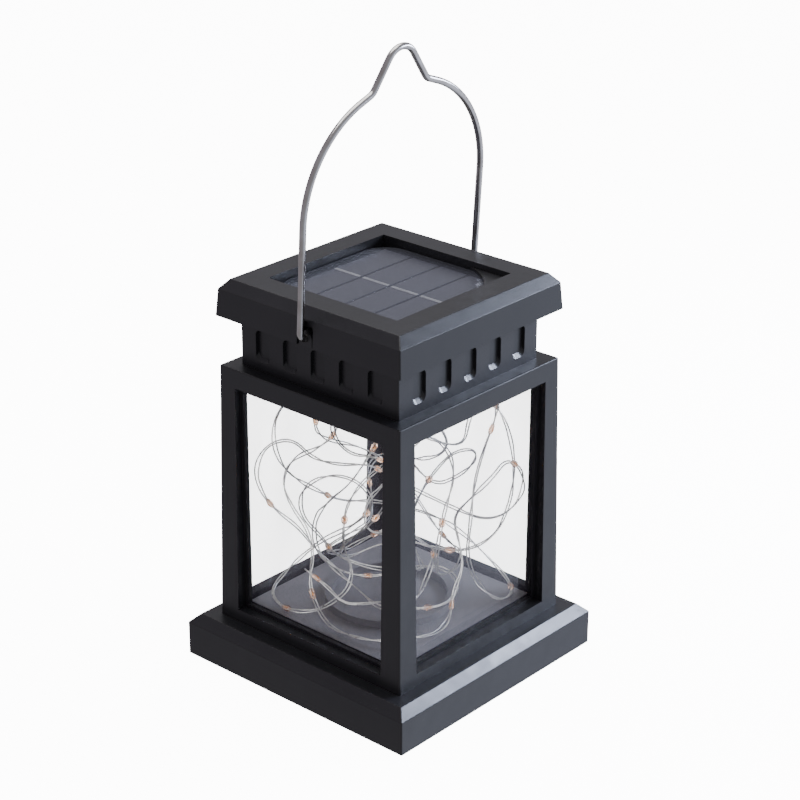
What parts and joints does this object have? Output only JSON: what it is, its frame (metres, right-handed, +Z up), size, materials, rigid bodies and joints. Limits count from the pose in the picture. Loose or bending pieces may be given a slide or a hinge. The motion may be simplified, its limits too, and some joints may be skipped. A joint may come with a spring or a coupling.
{
  "type": "solar garden lantern",
  "caption": "Square solar lantern with clear windows, a fluted lift-off lid with a solar panel on top, a wire handle and a loose string of lights inside.",
  "frame": {"origin": "centre of the underside of the plinth, on the surface that the lantern stands on", "axes": "+Z up; X along the hinge line of the handle; -Y the front window"},
  "size_m": [0.107, 0.107, 0.2347],
  "materials": {
    "case": "satin, fine mould texture",
    "panes": "clear",
    "handle": "polished wire",
    "resin": "clear gloss",
    "cells": "satin",
    "ribbons": "satin",
    "board": "satin",
    "foam": "matte",
    "tray": "matte",
    "screws": "zinc plated",
    "battery": "shrink wrap, gloss",
    "contacts": "nickel plated",
    "chip": "satin",
    "switch_metal": "satin",
    "knob": "matte",
    "rubber": "matte",
    "silver_wire": "bright enamelled wire",
    "led_drops": "clear resin",
    "lead_red": "satin",
    "lead_black": "satin"
  },
  "bodies": {
    "body": {"base_plinth": "case", "base_screws": "screws", "body_frame": "case", "front_pane": "panes", "right_pane": "panes", "rear_pane": "panes", "left_pane": "panes"},
    "lid": {"lid_cap": "case", "lid_collar": "case", "panel_pad": "foam", "solar_board": "board", "solar_cells": "cells", "solar_ribbons": "ribbons", "solar_resin": "resin", "lid_tray": "tray", "tray_screws": "screws", "battery": "battery", "battery_contact_plus": "contacts", "battery_contact_minus": "contacts", "battery_cover": "tray", "battery_cover_screw": "screws", "circuit_board": "board", "driver_chip": "chip", "inductor": "chip", "switch_body": "switch_metal", "string_gland": "rubber", "light_string": "silver_wire", "led_beads": "led_drops", "panel_lead_red": "lead_red", "panel_lead_black": "lead_black", "battery_lead_red": "lead_red", "battery_lead_black": "lead_black"},
    "handle": {"handle_wire": "handle"},
    "switch": {"switch_knob": "knob"}
  },
  "joints": [
    {"name": "lid_lift", "type": "slide", "parent": "body", "child": "lid", "axis": [0, 0, 1], "range_m": [0, 0.03], "deforming": ["light_string", "led_beads"]},
    {"name": "handle_swing", "type": "hinge", "parent": "lid", "child": "handle", "pos_m": [0, 0, 0.1392], "axis": [1, 0, 0], "range_deg": [-118.2, 111.8]},
    {"name": "switch_slide", "type": "slide", "parent": "lid", "child": "switch", "axis": [1, 0, 0], "range_m": [0, 0.0024]}
  ]
}
